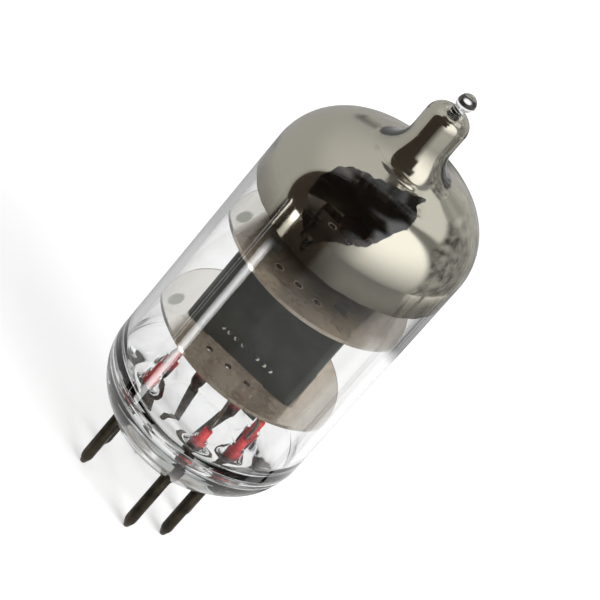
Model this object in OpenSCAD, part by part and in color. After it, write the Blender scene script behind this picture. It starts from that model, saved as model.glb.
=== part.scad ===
// Miniature seven pin glass pentode, standing on its pins.
// Millimetres, +Z up along the bulb. The origin is the centre of the plane of
// the pin tips, and the gap in the ring of pins faces -Y.

/* [Pins] */
// Diameter of each base pin
pin_d = 1.016; // [0.9:0.002:1.1]
// Length of pin below the glass
pin_len = 6.9; // [6.3:0.1:7.5]
// Diameter of the circle that the pins stand on
pin_circle_d = 9.525; // [9.2:0.005:9.8]
// Length of the tapered pin tip
pin_taper_len = 0.8; // [0.4:0.1:1.2]
// Diameter of the flat end of the pin tip
pin_end_d = 0.5; // [0.3:0.05:0.8]
// Length of the weld knot in the glass, where the pin runs down to the sealing wire
pin_seal_len = 0.9; // [0.6:0.1:1.6]

/* [Glass] */
// Outer diameter of the bulb
bulb_d = 18.12; // [17.6:0.02:19]
// Wall thickness of the bulb
wall_t = 0.7; // [0.5:0.05:0.9]
// Thickness of the pressed glass base
base_t = 3; // [2.6:0.1:3.4]
// Outer radius of the bulb's bottom corner
heel_r = 5.5; // [5:0.1:6]
// Height of the seam between bulb and base above the underside
seam_h = 1.4; // [1.3:0.05:1.6]
// Radius of the edge round the flat underside
foot_r = 1.5; // [1:0.1:1.8]
// Radius inside the bottom of the bulb, from floor to wall
floor_r = 1.3; // [1:0.02:1.6]
// Height of the bead of fused glass that runs round the inside above that radius
bead_w = 0.5; // [0.3:0.05:0.7]
// How far that bead stands in from the wall
bead_in = 0.12; // [0.06:0.02:0.2]
// Radius of the dome's shoulder
shoulder_r = 5.3; // [4.8:0.1:5.8]
// Slope of the dome's crown from level, in degrees
crown_slope = 18; // [12:1:24]
// Radius of the hollow sweep from crown to neck
neck_sweep_r = 2.6; // [2:0.1:3]
// Diameter of the exhaust neck
neck_d = 3.76; // [3.4:0.02:4.2]
// Wall thickness of the neck
neck_wall_t = 0.5; // [0.4:0.05:0.7]
// Length of the neck's straight part
neck_len = 1.75; // [1.5:0.05:2.4]
// Rounding on top of the neck
neck_round_r = 1.2; // [0.8:0.1:1.3]
// Diameter of the drawn out stalk above the neck
stalk_d = 1; // [0.8:0.1:1.2]
// Length of the stalk
stalk_len = 0.5; // [0.3:0.1:1]
// Diameter of the sealed ball on the stalk
ball_d = 1.54; // [1.4:0.02:2]
// Height of the glass cone round each sealed wire
boss_h = 1.5; // [1:0.1:2]
// Extra diameter of the cone's top over the wire
boss_rim = 0.3; // [0.2:0.05:0.5]
// Diameter of the foot of that cone
boss_d = 2.3; // [2:0.1:2.6]
// Depth of the seam groove between bulb and base
seam_depth = 0.12; // [0.05:0.01:0.2]

/* [Wires] */
// Diameter of the red sealing wires
seal_wire_d = 0.8; // [0.6:0.05:0.9]
// Length of the sealing wires above the glass floor
seal_wire_rise = 2.6; // [2.1:0.1:3]
// Diameter of the leads to the electrodes
lead_d = 0.3; // [0.25:0.05:0.45]
// Bend radius of the leads
lead_bend_r = 0.7; // [0.5:0.1:0.9]

/* [Micas] */
// Height of the lower mica above the glass floor
mica_rise = 8.2; // [7.6:0.1:9]
// Thickness of each mica
mica_t = 0.3; // [0.2:0.05:0.5]
// Distance between the two micas
cage_h = 9.35; // [8:0.05:11]
// Height of the dome's shoulder above the upper mica
dome_room = 6.2; // [6:0.1:7.5]
// Turn of the electrode cage about the axis, in degrees
cage_turn = 20; // [18:1:22]
// Diameter of the vent holes
vent_d = 0.55; // [0.4:0.05:0.8]
// Spacing of the vent holes
vent_pitch = 1.95; // [1.6:0.05:2.2]
// Distance of each row of vent holes from the middle
vent_row = 4.95; // [4.7:0.05:5.4]

/* [Anode] */
// Width of the anode box
anode_w = 10.7; // [10.2:0.02:11]
// Depth of the anode box
anode_depth = 7.16; // [6.8:0.02:7.4]
// Thickness of the anode sheet
anode_t = 0.2; // [0.12:0.02:0.24]
// Outer bend radius of the anode corners
anode_bend_r = 0.6; // [0.4:0.05:0.8]
// Width of the lap where one half slides into the other
anode_lap = 1.2; // [0.8:0.1:1.6]
// Width of the side windows
window_w = 2.6; // [2:0.1:3]
// Height of sheet kept above and below each side window
window_rail = 1.6; // [1.2:0.1:2]
// Width of the legs that pass through the micas
leg_w = 1.2; // [0.8:0.1:1.4]
// Distance of the legs from the middle
leg_offset = 3.5; // [3.3:0.05:3.6]
// Length of the long legs below the lower mica
leg_len = 2.7; // [2.2:0.1:3]
// Spacing of the spot welds along the front half
weld_pitch = 0.7; // [0.6:0.05:0.8]

/* [Grids] */
// Distance between the control grid's side rods
control_w = 2.5; // [2.4:0.05:2.6]
// Depth of the control grid's winding
control_depth = 1.8; // [1.7:0.05:1.9]
// Pitch of the control grid's winding
control_pitch = 0.42; // [0.36:0.02:0.6]
// Distance between the screen grid's side rods
screen_w = 4.3; // [4.2:0.05:4.5]
// Depth of the screen grid's winding
screen_depth = 2.8; // [2.6:0.05:3]
// Pitch of the screen grid's winding
screen_pitch = 0.62; // [0.5:0.02:0.9]
// Distance between the suppressor grid's side rods
suppressor_w = 6.6; // [6.4:0.05:6.8]
// Depth of the suppressor grid's winding
suppressor_depth = 4.4; // [4.2:0.05:4.8]
// Pitch of the suppressor grid's winding
suppressor_pitch = 1.1; // [0.9:0.05:1.5]
// Diameter of the control grid's rods
control_rod_d = 0.5; // [0.4:0.05:0.55]
// Diameter of the screen and suppressor grids' rods
outer_rod_d = 0.6; // [0.5:0.05:0.65]
// Diameter of the grid wire
grid_wire_d = 0.08; // [0.05:0.01:0.1]
// Length of rod beyond each mica
rod_end = 0.9; // [0.6:0.1:1.2]

/* [Cathode] */
// Outer diameter of the cathode sleeve
cathode_d = 1.2; // [1.1:0.02:1.26]
// Wall thickness of the cathode sleeve
cathode_wall = 0.08; // [0.06:0.01:0.1]
// Thickness of the oxide coat
coat_t = 0.05; // [0.03:0.01:0.06]
// Diameter of the coated heater wire
heater_d = 0.24; // [0.2:0.01:0.26]

/* [Getter] */
// Diameter of the getter cup
cup_d = 2.5; // [2.2:0.1:2.8]
// Depth of the getter cup
cup_h = 0.5; // [0.4:0.05:0.7]
// Thickness of the getter's sheet metal
strap_t = 0.12; // [0.1:0.01:0.16]
// Width of the getter's strap
strap_w = 0.9; // [0.7:0.05:1.1]
// Height of the strap above the upper mica
strap_h = 3.75; // [3.3:0.05:4]
// Forward tilt of the cup, in degrees
cup_tilt = 13; // [8:1:16]
// Thickness of the getter film
film_t = 0.05; // [0.04:0.01:0.08]
// Height of the film's front edge above the upper mica
film_edge = 3.65; // [3.2:0.05:4.2]
// Height of the film's back edge above the upper mica
film_back_edge = 0.6; // [0.5:0.1:1.2]

/* [Hidden] */
PINS = 7;
$fn = 48;

// Clearances: face to face is zero, fit is a running gap, loose is a wider one.
fit = 0.02;
loose = 0.05;

// Heights, from the pin tips up
z_under = pin_len;
z_floor = z_under + base_t;
z_pin_top = z_under + pin_seal_len;
z_seal_top = z_floor + seal_wire_rise;
z_low = z_floor + mica_rise;
z_cage = z_low + mica_t;
z_cage_top = z_cage + cage_h;
z_up = z_cage_top + mica_t;
z_shoulder = z_up + dome_room;

// Glass outline
bulb_r = bulb_d / 2;
inner_r = bulb_r - wall_t;
neck_r = neck_d / 2;
sweep_x = neck_r + neck_sweep_r;
crown_x = bulb_r - shoulder_r + shoulder_r * sin(crown_slope);
crown_z = z_shoulder + shoulder_r * cos(crown_slope);
sweep_z = crown_z + (crown_x - sweep_x) * tan(crown_slope) + neck_sweep_r / cos(crown_slope);
z_neck_top = sweep_z + neck_len + neck_round_r;
z_ball = z_neck_top + stalk_len + sqrt(pow(ball_d / 2, 2) - pow(stalk_d / 2, 2));
// The seam lies where the heel's arc meets a cone of 45 degrees, which leads to
// the foot's arc.
heel_x = bulb_r - heel_r;
seam_x = heel_x + heel_r * sin(45);
seam_z = z_under + seam_h;
z_heel = seam_z + heel_r * cos(45);
foot_x = seam_x - seam_h - foot_r * tan(22.5);
floor_x = inner_r - floor_r;
bore_r = neck_r - neck_wall_t;
// Middle of the inner sweep from crown to bore
bore_x = bore_r + neck_sweep_r + wall_t;
bore_z = sweep_z - (bore_x - sweep_x) * tan(crown_slope);
// Height at which the bore's rounded top begins, to which the film runs up
z_bore = sweep_z + neck_len;
bore_round_r = neck_round_r - neck_wall_t;
// The bead's arc, from its height and width
bead_r = (pow(bead_w / 2, 2) + pow(bead_in, 2)) / (2 * bead_in);
bead_angle = asin(bead_w / 2 / bead_r);
z_bead = z_floor + floor_r + bead_w / 2 + loose;
arc_steps = 12;

// Cage
rod_bottom = z_low - rod_end;
rod_top = z_up + rod_end;
control_x = control_w / 2;
screen_x = screen_w / 2;
suppressor_x = suppressor_w / 2;
face_y = anode_depth / 2;
leg_y = face_y - anode_t / 2;
z_leg = z_low - leg_len;

function arc(c, r, from, to, steps = arc_steps) =
    [for (i = [0:steps]) let (a = from + (to - from) * i / steps) [c[0] + r * cos(a), c[1] + r * sin(a)]];

// Outside of the glass from the seam to the ball's top
function glass_outside() = concat(
    arc([heel_x, z_heel], heel_r, -45, 0),
    arc([bulb_r - shoulder_r, z_shoulder], shoulder_r, 0, 90 - crown_slope),
    arc([sweep_x, sweep_z], neck_sweep_r, 270 - crown_slope, 180),
    arc([neck_r - neck_round_r, sweep_z + neck_len], neck_round_r, 0, stalk_angle()),
    arc([0, z_ball], ball_d / 2, -ball_angle(), 90));

// Angle at which the neck's rounding meets the stalk
function stalk_angle() = acos((stalk_d / 2 - neck_r + neck_round_r) / neck_round_r);
function ball_angle() = acos(stalk_d / ball_d);

// Inside of the dome from the wall to the neck's bore, drawn in by an allowance
function dome_inside(gap = 0) = concat(
    arc([bulb_r - shoulder_r, z_shoulder], shoulder_r - wall_t - gap, 0, 90 - crown_slope),
    arc([bore_x, bore_z], neck_sweep_r + wall_t + gap, 270 - crown_slope, 180));

// Seam between bulb and base, from the glass floor out to the groove
seam_floor = [floor_x, z_floor];
seam_groove = [seam_x - seam_depth * sin(45), seam_z + seam_depth * cos(45)];
groove_w = 0.25;

module glass_bulb() {
    color("gainsboro", 0.35)
    rotate_extrude($fn = 96) polygon(concat(
        [seam_floor, seam_groove],
        [for (p = glass_outside()) if (p[1] > seam_z + groove_w) p],
        [[0, z_bore + bore_round_r]],
        arc([neck_r - neck_round_r, z_bore], bore_round_r, 90, 0),
        [for (i = [len(dome_inside()) - 1:-1:0]) dome_inside()[i]],
        arc([inner_r - bead_in + bead_r, z_bead], bead_r, 180 - bead_angle, 180 + bead_angle, 6),
        arc([floor_x, z_floor + floor_r], floor_r, 0, -85)));
}

module glass_base() {
    color("gainsboro", 0.35)
    difference() {
        union() {
            rotate_extrude($fn = 96) polygon(concat(
                [[0, z_under], [foot_x, z_under]],
                arc([foot_x, z_under + foot_r], foot_r, -90, -45, 6),
                [[seam_x - groove_w, seam_z - groove_w], seam_groove, seam_floor, [0, z_floor]]));
            for (i = [1:PINS]) at_pin(i) translate([0, 0, z_floor - base_t / 4])
                cylinder(d1 = boss_d, d2 = seal_wire_d + boss_rim, h = boss_h + base_t / 4);
        }
        for (i = [1:PINS]) at_pin(i) {
            pin_body();
            translate([0, 0, z_pin_top - fit]) cylinder(d = seal_wire_d, h = base_t + boss_h);
        }
    }
}

// Pin 1 stands next to the gap and the numbers run towards +X and round.
function pin_angle(i) = -45 + 45 * (i - 1);
module at_pin(i) {
    rotate([0, 0, pin_angle(i)]) translate([pin_circle_d / 2, 0, 0]) children();
}

// Tapered tip, shank and, inside the glass, the weld knot
module pin_body() {
    rotate_extrude() polygon([[0, 0], [pin_end_d / 2, 0], [pin_d / 2, pin_taper_len],
        [pin_d / 2, z_under], [seal_wire_d / 2, z_pin_top], [0, z_pin_top]]);
}
module base_pin(i) {
    color("dimgray")
    at_pin(i) pin_body();
}

module seal_wire(i) {
    color("firebrick")
    at_pin(i) translate([0, 0, z_pin_top]) cylinder(d = seal_wire_d, h = z_seal_top - z_pin_top);
}

// Place of a pin in the turned cage's own axes
function pin_in_cage(i) = let (a = pin_angle(i) - cage_turn) [cos(a), sin(a)] * pin_circle_d / 2;
module in_cage() {
    rotate([0, 0, cage_turn]) children();
}

// Stations of a lead in its own upright plane: distance across, height and lean
function lead_stations(across, low, high, top) = let (
    lean = atan2(across, high - low), reach = lead_bend_r * tan(lean / 2))
    concat([[0, z_seal_top, 0]],
        [for (k = [0:bend_steps]) let (f = lean * k / bend_steps)
            [lead_bend_r * (1 - cos(f)), low - reach + lead_bend_r * sin(f), f]],
        [for (k = [bend_steps:-1:0]) let (f = lean * k / bend_steps)
            [across - lead_bend_r * (1 - cos(f)), high + reach - lead_bend_r * sin(f), f]],
        [[across, top, 0]]);
bend_steps = 4;
lead_sides = 8;

// Lead that rises from its sealing wire, leans across and rises beside its electrode.
// It ends at point to, in the cage's axes; low and high are where its two bends lie.
module lead(i, to, low, high, top) {
    from = pin_in_cage(i);
    stations = lead_stations(norm(to - from), low, high, top);
    color("slategray")
    in_cage() translate([from[0], from[1], 0])
    rotate([0, 0, atan2(to[1] - from[1], to[0] - from[0])])
        tube_of([for (q = stations) [for (s = [0:lead_sides - 1]) let (a = 360 * s / lead_sides)
            [q[0], 0, q[1]] + lead_d / 2 * ([cos(q[2]), 0, -sin(q[2])] * cos(a) - [0, 1, 0] * sin(a))]],
            lead_sides);
}

// Where each lead ends: beside its rod, leg, tab or heater tail
beside_control = [control_x, -control_rod_d / 2 - lead_d / 2 - fit];
beside_suppressor = [suppressor_x, -outer_rod_d / 2 - lead_d / 2 - fit];
beside_screen = [-screen_x, outer_rod_d / 2 + lead_d / 2 + fit];
beside_leg = [-leg_offset + leg_w / 4, face_y + lead_d / 2 + fit];
beside_tab = [-suppressor_x, -outer_rod_d / 2 - lead_d / 2 - fit];
tail_gap = heater_d / 2 + lead_d / 2 + fit;
z_bend_low = z_seal_top + lead_bend_r;
z_bend_high = z_low - 2.4;
z_lead_top = z_low - loose * 4;

module lead_1() lead(1, beside_control, z_bend_low, z_bend_high, z_lead_top);
module lead_2() lead(2, beside_suppressor, z_bend_low + 1, z_bend_high, z_lead_top);
module lead_3() lead(3, [heater_x + tail_gap, heater_x], z_bend_low, z_bend_high - 0.4, z_low - 1.2);
module lead_4() lead(4, [-heater_x, heater_x + tail_gap], z_bend_low, z_bend_high - 0.4, z_low - 1.2);
module lead_5() lead(5, beside_leg, z_bend_low, z_bend_high - 0.4, z_lead_top);
module lead_6() lead(6, beside_screen, z_bend_low, z_bend_high, z_lead_top);
module lead_7() lead(7, beside_tab, z_bend_low + 1, z_bend_high, z_lead_top);

// Mica disc with holes for everything that passes through it
module mica(z) {
    color("tan")
    in_cage() translate([0, 0, z]) difference() {
        cylinder(r = inner_r - fit, h = mica_t, $fn = 96);
        translate([0, 0, -1]) {
            for (side = [-1, 1]) {
                translate([side * control_x, 0, 0]) cylinder(d = control_rod_d + fit, h = mica_t + 2);
                translate([side * screen_x, 0, 0]) cylinder(d = outer_rod_d + fit, h = mica_t + 2);
                translate([side * suppressor_x, 0, 0]) cylinder(d = outer_rod_d + fit, h = mica_t + 2);
                for (k = [-1:1]) translate([k * vent_pitch, side * vent_row, 0])
                    cylinder(d = vent_d, h = mica_t + 2);
                for (half = [-1, 1]) translate([side * leg_offset, half * leg_y, mica_t / 2 + 1])
                    cube([leg_w + loose, anode_t + loose, mica_t + 2], center = true);
            }
            cylinder(d = cathode_d + fit, h = mica_t + 2);
        }
    }
}

module lower_mica() mica(z_low);
module upper_mica() mica(z_cage_top);

module rounded_box(w, d, r) {
    square([w - 2 * r, d], center = true);
    square([w, d - 2 * r], center = true);
    for (x = [-1, 1], y = [-1, 1]) translate([x * (w / 2 - r), y * (d / 2 - r)]) circle(r = r);
}

// Folded channel that faces -Y, open at the back, with windows in its side walls
module anode_half(w, wall_end) {
    difference() {
        linear_extrude(cage_h) intersection() {
            difference() {
                rounded_box(w, anode_depth, anode_bend_r);
                rounded_box(w - 2 * anode_t, anode_depth - 2 * anode_t, anode_bend_r - anode_t);
            }
            translate([-w, -anode_depth]) square([2 * w, anode_depth + wall_end]);
        }
        translate([-w, -window_w / 2, window_rail]) cube([2 * w, window_w, cage_h - 2 * window_rail]);
    }
}

// Leg of the sheet: its middle at x, from z to z + h
module leg(x, z, h) {
    translate([x - leg_w / 2, -face_y, z]) cube([leg_w, anode_t, h]);
}

tab_h = mica_t + 0.5;
module anode_front() {
    color("#4a4c48")
    in_cage() {
        translate([0, 0, z_cage]) anode_half(anode_w, anode_lap / 2);
        leg(leg_offset, z_leg, z_cage - z_leg + anode_t);
        leg(-leg_offset, z_cage - tab_h, tab_h + anode_t);
        for (side = [-1, 1]) leg(side * leg_offset, z_cage_top - anode_t, tab_h + anode_t);
        for (k = [0:7]) translate([(k - 3.4) * weld_pitch, -face_y, z_cage + 1.5])
            rotate([90, 0, 0]) cylinder(d1 = 0.4, d2 = 0.2, h = 0.08, $fn = 24);
    }
}

module anode_back() {
    nested_w = anode_w - 2 * anode_t - 2 * fit;
    color("#4a4c48")
    in_cage() rotate([0, 0, 180]) {
        translate([0, 0, z_cage]) anode_half(nested_w, anode_lap / 2);
        leg(leg_offset, z_leg, z_cage - z_leg + anode_t);
        leg(-leg_offset, z_cage - tab_h, tab_h + anode_t);
        for (side = [-1, 1]) leg(side * leg_offset, z_cage_top - anode_t, tab_h + anode_t);
    }
}

module side_rod(x, d) {
    color("silver")
    in_cage() translate([x, 0, rod_bottom]) cylinder(d = d, h = rod_top - rod_bottom);
}

// Oval coil of wire wound round the outside of two side rods
module winding(rod_x, rod_d, depth, pitch, steps = 18, sides = 5) {
    a = rod_x + rod_d / 2 + grid_wire_d / 2 + fit;
    b = depth / 2;
    room = cage_h - 2 * winding_margin;
    turns = floor(room / pitch);
    n = turns * steps;
    rings = [for (k = [0:n]) let (
        t = 360 * k / steps,
        mid = [a * cos(t), b * sin(t), z_cage + (cage_h - turns * pitch) / 2 + pitch * k / steps],
        out = [cos(t) / a, sin(t) / b, 0] / norm([cos(t) / a, sin(t) / b]),
        along = [-a * sin(t), b * cos(t), pitch / 360 * 57.3],
        up = cross(out, along / norm(along)))
        [for (s = [0:sides - 1]) mid + grid_wire_d / 2 * (out * cos(360 * s / sides) + up * sin(360 * s / sides))]];
    in_cage() tube_of(rings, sides);
}
winding_margin = 0.6;

// Closed tube through rings of points
module tube_of(rings, sides) {
    n = len(rings);
    polyhedron(
        points = [for (r = rings) for (p = r) p],
        faces = concat(
            [[for (s = [0:sides - 1]) s]],
            [for (k = [0:n - 2]) for (s = [0:sides - 1]) let (e = (s + 1) % sides)
                each [[k * sides + s, (k + 1) * sides + s, (k + 1) * sides + e],
                      [k * sides + s, (k + 1) * sides + e, k * sides + e]]],
            [[for (s = [sides - 1:-1:0]) (n - 1) * sides + s]]));
}

module suppressor_rod_left() side_rod(-suppressor_x, outer_rod_d);
module suppressor_rod_right() side_rod(suppressor_x, outer_rod_d);
module suppressor_winding() color("darkgray") winding(suppressor_x, outer_rod_d, suppressor_depth, suppressor_pitch);
module screen_rod_left() side_rod(-screen_x, outer_rod_d);
module screen_rod_right() side_rod(screen_x, outer_rod_d);
module screen_winding() color("darkgray") winding(screen_x, outer_rod_d, screen_depth, screen_pitch);
module control_rod_left() side_rod(-control_x, control_rod_d);
module control_rod_right() side_rod(control_x, control_rod_d);
module control_winding() color("goldenrod") winding(control_x, control_rod_d, control_depth, control_pitch);

// Nickel sleeve with a fired oxide coat on its middle
module cathode_sleeve() {
    sleeve_end = 0.4;
    bare = 0.8;
    color("whitesmoke")
    difference() {
        union() {
            translate([0, 0, z_low - sleeve_end]) cylinder(d = cathode_d, h = z_up + 2 * sleeve_end - z_low);
            translate([0, 0, z_cage + bare]) cylinder(d = cathode_d + 2 * coat_t, h = cage_h - 2 * bare);
        }
        translate([0, 0, z_low - 1]) cylinder(d = cathode_d - 2 * cathode_wall, h = z_up + 2 - z_low);
    }
}

// Ribbon from the sleeve to the left suppressor rod's lead
module cathode_tab() {
    tab_t = 0.1;
    y = -cathode_d / 2 - fit - tab_t;
    color("silver")
    in_cage() translate([0, 0, z_low - 0.35 - loose]) linear_extrude(0.35) polygon([
        [0.3, y], [0.3, y + tab_t], [-0.1, y + tab_t],
        [-1, beside_tab[1] - lead_d / 2 - fit], [-suppressor_x - 0.2, beside_tab[1] - lead_d / 2 - fit],
        [-suppressor_x - 0.2, beside_tab[1] - lead_d / 2 - fit - tab_t],
        [-1, beside_tab[1] - lead_d / 2 - fit - tab_t], [-0.1, y]]);
}

// Coated wire folded four times up and down inside the sleeve
heater_x = 0.2;
module heater() {
    tail = 1.8;
    z_fold = z_cage_top - 0.4;
    z_turn = z_cage + 0.6;
    color("white")
    in_cage() {
        for (x = [-1, 1]) {
            translate([x * heater_x, heater_x, z_low - tail]) cylinder(d = heater_d, h = z_fold - z_low + tail);
            translate([x * heater_x, -heater_x, z_turn]) cylinder(d = heater_d, h = z_fold - z_turn);
            translate([x * heater_x, 0, z_fold]) rotate([90, 0, 90]) fold(180);
        }
        translate([0, -heater_x, z_turn]) rotate([-90, 0, 0]) fold(180);
    }
}
module fold(sweep) rotate_extrude(angle = sweep) translate([heater_x, 0]) circle(d = heater_d);

// Strap that stands on the upper mica, welded to the left suppressor rod, with a
// tilted arm under the cup
strap_x = suppressor_x - outer_rod_d / 2 - fit;
arm_reach = cup_d / 2 - 0.2;
z_arm = z_up + strap_h;
module on_arm() {
    in_cage() translate([0, 0, z_arm]) rotate([cup_tilt, 0, 0]) children();
}
module getter_strap() {
    color("silver") {
        intersection() {
            in_cage() translate([-strap_x, -strap_w / 2, z_up]) cube([strap_t, strap_w, strap_h + 1]);
            on_arm() translate([-strap_x - 1, -strap_w, -strap_h - 1]) cube([strap_x, 2 * strap_w, strap_h + 1]);
        }
        on_arm() translate([-strap_x, -strap_w / 2, -strap_t]) cube([strap_x + arm_reach, strap_w, strap_t]);
    }
}

module getter_cup() {
    color("silver")
    on_arm() difference() {
        cylinder(d = cup_d, h = cup_h);
        translate([0, 0, strap_t]) cylinder(d = cup_d - 2 * strap_t, h = cup_h);
    }
}

module getter_fill() {
    color("saddlebrown")
    on_arm() translate([0, 0, strap_t]) cylinder(d = cup_d - 2 * strap_t - 2 * fit, h = cup_h / 2);
}

// Outline of the clear patch in the film, seen along sight, from the middle of the
// dome: across to the right, and up at right angles to sight
sight = [30, -64.8];
patch = [[-4.4, -0.9], [-3.8, 0.6], [-3.1, 1.2], [-1.6, 1.5], [0.4, 2.1], [2.5, 2.9], [2.4, 2],
         [3.1, 1], [2.7, -0.1], [1.5, -2.6], [-0.1, -3.6], [-1, -4], [-1.9, -5.9], [-3.5, -3.7], [-4.3, -2]];
jag = 0.12;
jag_steps = 4;
// Ragged edge: each side is cut in short steps that wander to and fro
function ragged(points) = [for (i = [0:len(points) - 1]) let (
    p = points[i], q = points[(i + 1) % len(points)], side = [q[1] - p[1], p[0] - q[0]] / norm(q - p))
    for (k = [0:jag_steps - 1]) p + (q - p) * k / jag_steps + side * jag * sin(217 * (i * jag_steps + k))];

module getter_film() {
    outer = dome_inside(fit);
    inner = dome_inside(fit + film_t);
    low = z_up + film_back_edge;
    color("dimgray")
    difference() {
        rotate_extrude($fn = 96) polygon(concat(
            [[inner_r - fit, low]], outer,
            [[bore_r - fit, z_bore], [bore_r - fit - film_t, z_bore]],
            [for (i = [len(inner) - 1:-1:0]) inner[i]],
            [[inner_r - fit - film_t, low]]));
        rotate([0, 0, sight[1] - 105]) rotate_extrude(angle = 210)
            translate([inner_r - 1, low - 1]) square([2, film_edge - film_back_edge + 1]);
        translate([0, 0, z_shoulder]) rotate([0, 0, sight[1]]) rotate([0, 90 - sight[0], 0]) rotate([0, 0, 90])
            linear_extrude(bulb_d) polygon(ragged(patch));
    }
}

glass_base();
for (i = [1:PINS]) {
    base_pin(i);
    seal_wire(i);
}
lead_1();
lead_2();
lead_3();
lead_4();
lead_5();
lead_6();
lead_7();
lower_mica();
upper_mica();
anode_front();
anode_back();
suppressor_rod_left();
suppressor_rod_right();
suppressor_winding();
screen_rod_left();
screen_rod_right();
screen_winding();
control_rod_left();
control_rod_right();
control_winding();
cathode_sleeve();
cathode_tab();
heater();
getter_strap();
getter_cup();
getter_fill();
getter_film();
glass_bulb();
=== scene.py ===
"""Looks of a miniature seven pin glass pentode that stands on its pins."""

import logging
import math
from dataclasses import dataclass
from enum import Enum
from typing import Protocol, Sequence

import bmesh
import bpy
from mathutils import Matrix, Vector, noise


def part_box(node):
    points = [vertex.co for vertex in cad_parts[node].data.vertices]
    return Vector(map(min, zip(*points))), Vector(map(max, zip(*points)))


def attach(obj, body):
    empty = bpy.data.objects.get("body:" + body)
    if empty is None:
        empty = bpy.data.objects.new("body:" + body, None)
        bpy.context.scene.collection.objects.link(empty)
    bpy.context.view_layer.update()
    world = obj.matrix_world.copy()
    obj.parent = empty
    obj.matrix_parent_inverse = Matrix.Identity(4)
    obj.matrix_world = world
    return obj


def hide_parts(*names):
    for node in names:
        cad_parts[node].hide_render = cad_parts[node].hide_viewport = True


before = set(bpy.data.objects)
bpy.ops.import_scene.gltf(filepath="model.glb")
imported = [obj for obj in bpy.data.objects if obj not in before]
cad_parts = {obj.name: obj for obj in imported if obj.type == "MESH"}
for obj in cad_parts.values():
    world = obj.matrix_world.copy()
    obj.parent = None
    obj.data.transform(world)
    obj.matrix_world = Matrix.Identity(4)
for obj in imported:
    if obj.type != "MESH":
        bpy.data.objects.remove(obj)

LOG = logging.getLogger("pentode")
MM = 0.001
BODY = "root"
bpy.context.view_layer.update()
# Steps in a full turn of the glass and the film.
ROUND = 128
# The camera's side of the tube, and the cage's turn, both counted from the X axis.
FRONT_DEG = -64.8
CAGE_DEG = 20.0
Point = tuple[float, float]
Pair = tuple[float, float]
Tree = bpy.types.NodeTree
Outputs = bpy.types.bpy_prop_collection
Source = bpy.types.Node | bpy.types.NodeSocket | float


class Slot(Enum):
    """Material slots of the record, which the new pieces are passed."""

    GLASS = "glass"
    PIN = "pin_metal"
    DUMET = "dumet"
    GRID = "grid_wire"
    GILT = "gilt_wire"
    SHEET = "anode_sheet"
    MICA = "mica"
    FILM = "getter_film"


def node_box(name: str) -> tuple[Vector, Vector]:
    """Returns a node's lowest and highest corner in millimetres."""
    low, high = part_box(name)
    return Vector(low) / MM, Vector(high) / MM


def arc(centre: Point, radius: float, start: float, stop: float, steps: int) -> list[Point]:
    """Returns points of an arc in the (radius, height) plane, from start to stop in degrees."""
    angles = [math.radians(start + (stop - start) * i / steps) for i in range(steps + 1)]
    return [(centre[0] + radius * math.cos(a), centre[1] + radius * math.sin(a)) for a in angles]


def link(name: str, data: bpy.types.ID) -> bpy.types.Object:
    """Makes an object of a mesh, a camera or a lamp and puts it in the scene."""
    made = bpy.data.objects.new(name, data)
    bpy.context.scene.collection.objects.link(made)
    return made


def linear(colour: str) -> tuple[float, float, float, float]:
    """Turns an sRGB colour into the linear one that shaders take.

    Args:
        colour: six hex digits after a hash sign.

    Returns:
        Linear red, green, blue and a full alpha.
    """
    parts = [int(colour[i:i + 2], 16) / 255 for i in (1, 3, 5)]
    parts = [p / 12.92 if p <= 0.04045 else ((p + 0.055) / 1.055) ** 2.4 for p in parts]
    return (*parts, 1.0)


def add(tree: Tree, kind: str, inputs: dict | tuple = (), **settings: object) -> bpy.types.Node:
    """Adds a node to a tree.

    Args:
        tree: the material's or the world's nodes.
        kind: the node's type, without the ShaderNode that it starts with.
        inputs: what goes into its sockets, in their order or by their name or number: a value, a
            socket, or a node, which stands for its first output.
        settings: the node's own settings.

    Returns:
        The new node.
    """
    made = tree.nodes.new("ShaderNode" + kind)
    for name, value in settings.items():
        setattr(made, name, value)
    for key, value in inputs.items() if isinstance(inputs, dict) else enumerate(inputs):
        if isinstance(value, bpy.types.Node):
            value = value.outputs[0]
        if isinstance(value, bpy.types.NodeSocket):
            tree.links.new(value, made.inputs[key])
        else:
            made.inputs[key].default_value = value
    return made


def new_material(name: str) -> tuple[bpy.types.Material, Tree, bpy.types.NodeSocket]:
    """Makes an empty node material and returns it with its tree and its coordinates."""
    material = bpy.data.materials.new(name)
    material.use_nodes = True
    tree = material.node_tree
    tree.nodes.clear()
    return material, tree, add(tree, "TexCoord").outputs["Object"]


def per_mm(size_mm: float) -> float:
    """Returns the texture scale at which one cell measures size_mm."""
    return 1 / (size_mm * MM)


def metres(sizes_mm: Sequence[float]) -> tuple[float, ...]:
    """Returns sizes in the scene's own unit."""
    return tuple(v * MM for v in sizes_mm)


def cloud(tree: Tree, place: Source, size_mm: float, detail: float = 3.0, low: float = 0.35,
          high: float = 0.65) -> bpy.types.Node:
    """Adds soft patches.

    Args:
        tree: the material's nodes.
        place: the coordinates that the patches follow.
        size_mm: the size of a patch.
        detail: how many finer layers it has.
        low: the noise value that turns to 0.
        high: the noise value that turns to 1.

    Returns:
        A node that goes from 0 to 1.
    """
    grain = add(tree, "TexNoise", {"Vector": place, "Scale": per_mm(size_mm), "Detail": detail})
    return add(tree, "MapRange", (grain, low, high))


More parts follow.
